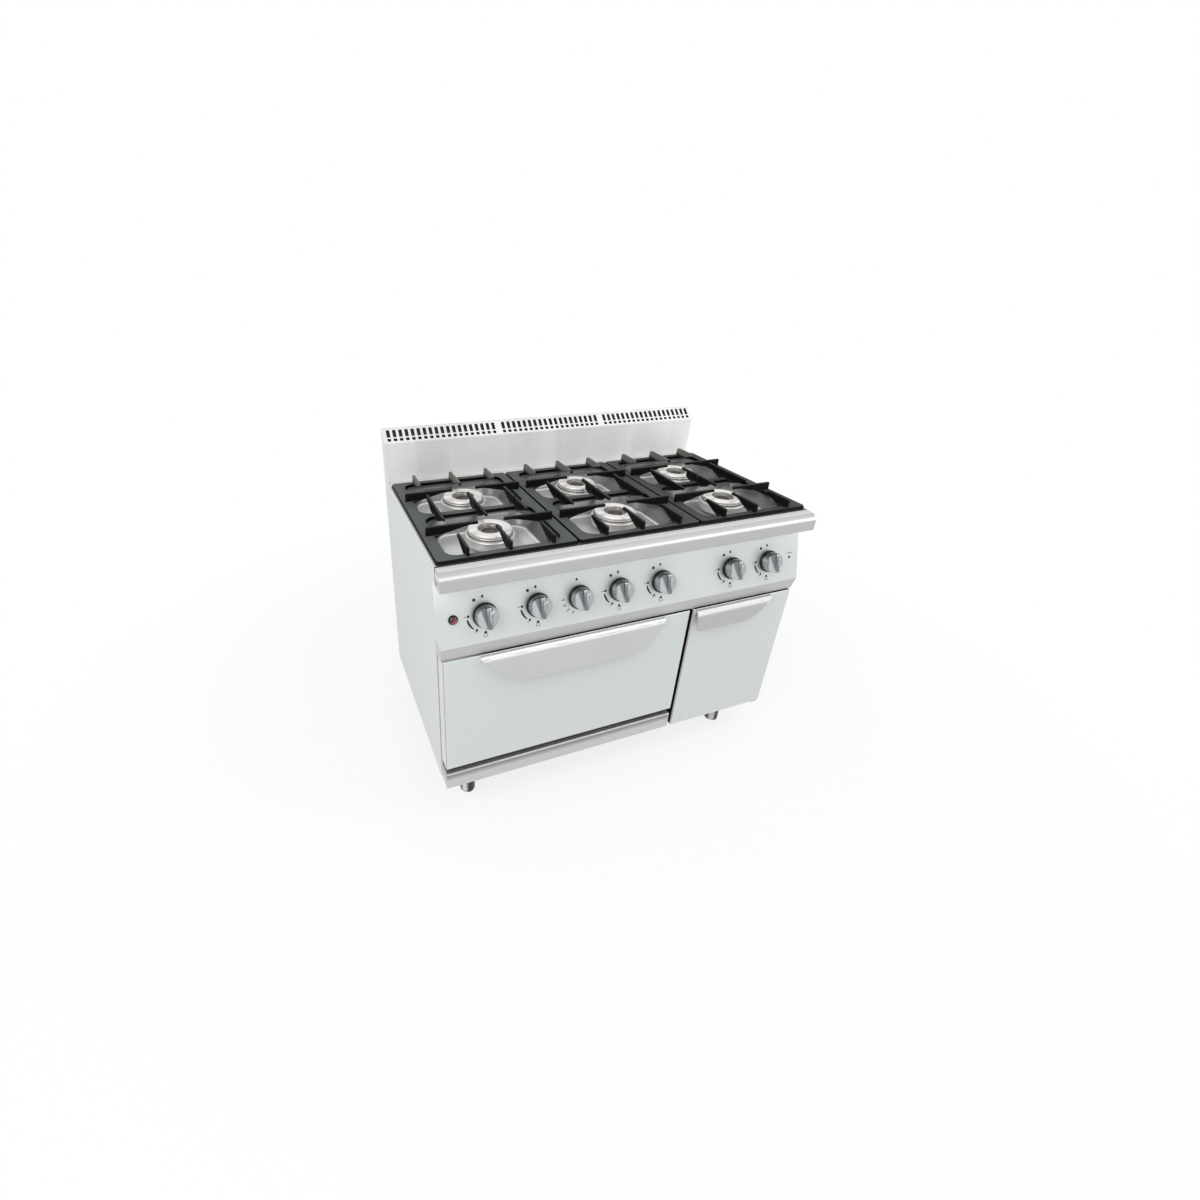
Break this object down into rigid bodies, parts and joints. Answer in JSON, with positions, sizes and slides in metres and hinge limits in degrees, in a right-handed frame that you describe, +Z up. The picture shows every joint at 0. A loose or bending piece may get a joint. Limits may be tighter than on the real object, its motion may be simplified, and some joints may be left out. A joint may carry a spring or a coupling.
{
  "type": "commercial gas range",
  "caption": "Free-standing steel gas range with open burners under cast pan grates, knobs on a leaning panel, a drop-door oven, a side cupboard and a slotted flue upstand.",
  "frame": {"origin": "middle of the footprint, on the floor", "axes": "+X to the right seen from the front, +Y to the back, +Z up; the front faces -Y"},
  "size_m": [1.2, 0.7376, 1.0717],
  "materials": {
    "satin_steel": "pale satin stainless sheet",
    "brushed_steel": "brushed stainless sheet",
    "black_cast_iron": "matt black enamelled casting",
    "burner_alloy": "turned and polished",
    "knob_metal": "satin",
    "brass": "machined",
    "painted_frame": "dark painted steel",
    "oven_enamel": "dark vitreous enamel",
    "shelf_chrome": "bright plated",
    "seal_rope": "woven rope",
    "red_plastic": "glossy red"
  },
  "bodies": {
    "casing": {"base_frame": "painted_frame", "left_side_panel": "satin_steel", "right_side_panel": "satin_steel", "back_panel": "satin_steel", "partition_panel": "satin_steel", "cupboard_floor": "satin_steel", "kick_strip": "satin_steel", "control_panel": "satin_steel", "worktop": "brushed_steel", "flue_upstand": "brushed_steel", "burner_body_1": "burner_alloy", "burner_body_2": "burner_alloy", "burner_body_3": "burner_alloy", "burner_body_4": "burner_alloy", "burner_body_5": "burner_alloy", "burner_body_6": "burner_alloy", "gas_manifold": "brass", "gas_supply_pipe": "painted_frame", "oven_cavity": "oven_enamel", "oven_gasket": "seal_rope", "oven_sole_plate": "oven_enamel", "oven_burner": "oven_enamel", "rack_left": "shelf_chrome", "rack_right": "shelf_chrome", "oven_hinge_arm_left": "painted_frame", "oven_hinge_arm_right": "painted_frame"},
    "oven_door": {"oven_door": "satin_steel", "oven_door_liner": "oven_enamel", "oven_door_handle": "brushed_steel"},
    "cupboard_door": {"cupboard_door": "satin_steel", "cupboard_door_handle": "brushed_steel"},
    "oven_shelf": {"oven_shelf": "shelf_chrome"},
    "igniter_button": {"igniter_button": "red_plastic"},
    "tap_spindle_1": {"tap_spindle_1": "brass"},
    "knob_1": {"knob_1": "knob_metal"},
    "tap_spindle_2": {"tap_spindle_2": "brass"},
    "knob_2": {"knob_2": "knob_metal"},
    "tap_spindle_3": {"tap_spindle_3": "brass"},
    "oven_knob": {"oven_knob": "knob_metal"},
    "tap_spindle_4": {"tap_spindle_4": "brass"},
    "knob_4": {"knob_4": "knob_metal"},
    "tap_spindle_5": {"tap_spindle_5": "brass"},
    "knob_5": {"knob_5": "knob_metal"},
    "tap_spindle_6": {"tap_spindle_6": "brass"},
    "knob_6": {"knob_6": "knob_metal"},
    "tap_spindle_7": {"tap_spindle_7": "brass"},
    "knob_7": {"knob_7": "knob_metal"},
    "grate_left": {"grate_left": "black_cast_iron"},
    "grate_middle": {"grate_middle": "black_cast_iron"},
    "grate_right": {"grate_right": "black_cast_iron"},
    "burner_cap_1": {"burner_cap_1": "burner_alloy"},
    "burner_cap_2": {"burner_cap_2": "burner_alloy"},
    "burner_cap_3": {"burner_cap_3": "burner_alloy"},
    "burner_cap_4": {"burner_cap_4": "burner_alloy"},
    "burner_cap_5": {"burner_cap_5": "burner_alloy"},
    "burner_cap_6": {"burner_cap_6": "burner_alloy"},
    "foot_front_left": {"foot_front_left": "brushed_steel"},
    "foot_front_right": {"foot_front_right": "brushed_steel"},
    "foot_back_left": {"foot_back_left": "brushed_steel"},
    "foot_back_right": {"foot_back_right": "brushed_steel"}
  },
  "joints": [
    {"name": "oven_door_drop", "type": "hinge", "parent": "casing", "child": "oven_door", "pos_m": [-0.20045, -0.32117, 0.2355], "axis": [1, 0, 0], "range_deg": [0, 90]},
    {"name": "cupboard_door_swing", "type": "hinge", "parent": "casing", "child": "cupboard_door", "pos_m": [0.5838, -0.31917, 0.145], "axis": [0, 0, 1], "range_deg": [0, 105]},
    {"name": "oven_shelf_slide", "type": "slide", "parent": "casing", "child": "oven_shelf", "axis": [0, -1, 0], "range_m": [0, 0.03]},
    {"name": "igniter_press", "type": "slide", "parent": "casing", "child": "igniter_button", "axis": [0, 0.965, -0.2622], "range_m": [0, 0.004], "stiffness_N_per_m": 600, "springref_m": -0.002},
    {"name": "tap_push_1", "type": "slide", "parent": "casing", "child": "tap_spindle_1", "axis": [0, 0.965, -0.2622], "range_m": [0, 0.004], "stiffness_N_per_m": 1500, "springref_m": -0.002},
    {"name": "knob_1_turn", "type": "hinge", "parent": "tap_spindle_1", "child": "knob_1", "pos_m": [-0.47496, -0.31626, 0.745], "axis": [0, -0.965, 0.2622], "range_deg": [0, 150]},
    {"name": "tap_push_2", "type": "slide", "parent": "casing", "child": "tap_spindle_2", "axis": [0, 0.965, -0.2622], "range_m": [0, 0.004], "stiffness_N_per_m": 1500, "springref_m": -0.002},
    {"name": "knob_2_turn", "type": "hinge", "parent": "tap_spindle_2", "child": "knob_2", "pos_m": [-0.32304, -0.31626, 0.745], "axis": [0, -0.965, 0.2622], "range_deg": [0, 150]},
    {"name": "tap_push_3", "type": "slide", "parent": "casing", "child": "tap_spindle_3", "axis": [0, 0.965, -0.2622], "range_m": [0, 0.004], "stiffness_N_per_m": 1500, "springref_m": -0.002},
    {"name": "oven_knob_turn", "type": "hinge", "parent": "tap_spindle_3", "child": "oven_knob", "pos_m": [-0.19596, -0.31626, 0.745], "axis": [0, -0.965, 0.2622], "range_deg": [0, 270]},
    {"name": "tap_push_4", "type": "slide", "parent": "casing", "child": "tap_spindle_4", "axis": [0, 0.965, -0.2622], "range_m": [0, 0.004], "stiffness_N_per_m": 1500, "springref_m": -0.002},
    {"name": "knob_4_turn", "type": "hinge", "parent": "tap_spindle_4", "child": "knob_4", "pos_m": [-0.06696, -0.31626, 0.745], "axis": [0, -0.965, 0.2622], "range_deg": [0, 150]},
    {"name": "tap_push_5", "type": "slide", "parent": "casing", "child": "tap_spindle_5", "axis": [0, 0.965, -0.2622], "range_m": [0, 0.004], "stiffness_N_per_m": 1500, "springref_m": -0.002},
    {"name": "knob_5_turn", "type": "hinge", "parent": "tap_spindle_5", "child": "knob_5", "pos_m": [0.075, -0.31626, 0.745], "axis": [0, -0.965, 0.2622], "range_deg": [0, 150]},
    {"name": "tap_push_6", "type": "slide", "parent": "casing", "child": "tap_spindle_6", "axis": [0, 0.965, -0.2622], "range_m": [0, 0.004], "stiffness_N_per_m": 1500, "springref_m": -0.002},
    {"name": "knob_6_turn", "type": "hinge", "parent": "tap_spindle_6", "child": "knob_6", "pos_m": [0.32964, -0.31626, 0.745], "axis": [0, -0.965, 0.2622], "range_deg": [0, 150]},
    {"name": "tap_push_7", "type": "slide", "parent": "casing", "child": "tap_spindle_7", "axis": [0, 0.965, -0.2622], "range_m": [0, 0.004], "stiffness_N_per_m": 1500, "springref_m": -0.002},
    {"name": "knob_7_turn", "type": "hinge", "parent": "tap_spindle_7", "child": "knob_7", "pos_m": [0.47304, -0.31626, 0.745], "axis": [0, -0.965, 0.2622], "range_deg": [0, 150]},
    {"name": "grate_left_lift", "type": "slide", "parent": "casing", "child": "grate_left", "axis": [0, 0, 1], "range_m": [0, 0.2]},
    {"name": "grate_middle_lift", "type": "slide", "parent": "casing", "child": "grate_middle", "axis": [0, 0, 1], "range_m": [0, 0.2]},
    {"name": "grate_right_lift", "type": "slide", "parent": "casing", "child": "grate_right", "axis": [0, 0, 1], "range_m": [0, 0.2]},
    {"name": "burner_cap_1_lift", "type": "slide", "parent": "casing", "child": "burner_cap_1", "axis": [0, 0, 1], "range_m": [0, 0.008]},
    {"name": "burner_cap_2_lift", "type": "slide", "parent": "casing", "child": "burner_cap_2", "axis": [0, 0, 1], "range_m": [0, 0.008]},
    {"name": "burner_cap_3_lift", "type": "slide", "parent": "casing", "child": "burner_cap_3", "axis": [0, 0, 1], "range_m": [0, 0.008]},
    {"name": "burner_cap_4_lift", "type": "slide", "parent": "casing", "child": "burner_cap_4", "axis": [0, 0, 1], "range_m": [0, 0.008]},
    {"name": "burner_cap_5_lift", "type": "slide", "parent": "casing", "child": "burner_cap_5", "axis": [0, 0, 1], "range_m": [0, 0.008]},
    {"name": "burner_cap_6_lift", "type": "slide", "parent": "casing", "child": "burner_cap_6", "axis": [0, 0, 1], "range_m": [0, 0.008]},
    {"name": "foot_front_left_turn", "type": "hinge", "parent": "casing", "child": "foot_front_left", "pos_m": [-0.5, -0.22417, 0], "axis": [0, 0, 1], "range_deg": [-360, 360]},
    {"name": "foot_front_right_turn", "type": "hinge", "parent": "casing", "child": "foot_front_right", "pos_m": [0.5, -0.22417, 0], "axis": [0, 0, 1], "range_deg": [-360, 360]},
    {"name": "foot_back_left_turn", "type": "hinge", "parent": "casing", "child": "foot_back_left", "pos_m": [-0.5, 0.31683, 0], "axis": [0, 0, 1], "range_deg": [-360, 360]},
    {"name": "foot_back_right_turn", "type": "hinge", "parent": "casing", "child": "foot_back_right", "pos_m": [0.5, 0.31683, 0], "axis": [0, 0, 1], "range_deg": [-360, 360]}
  ]
}
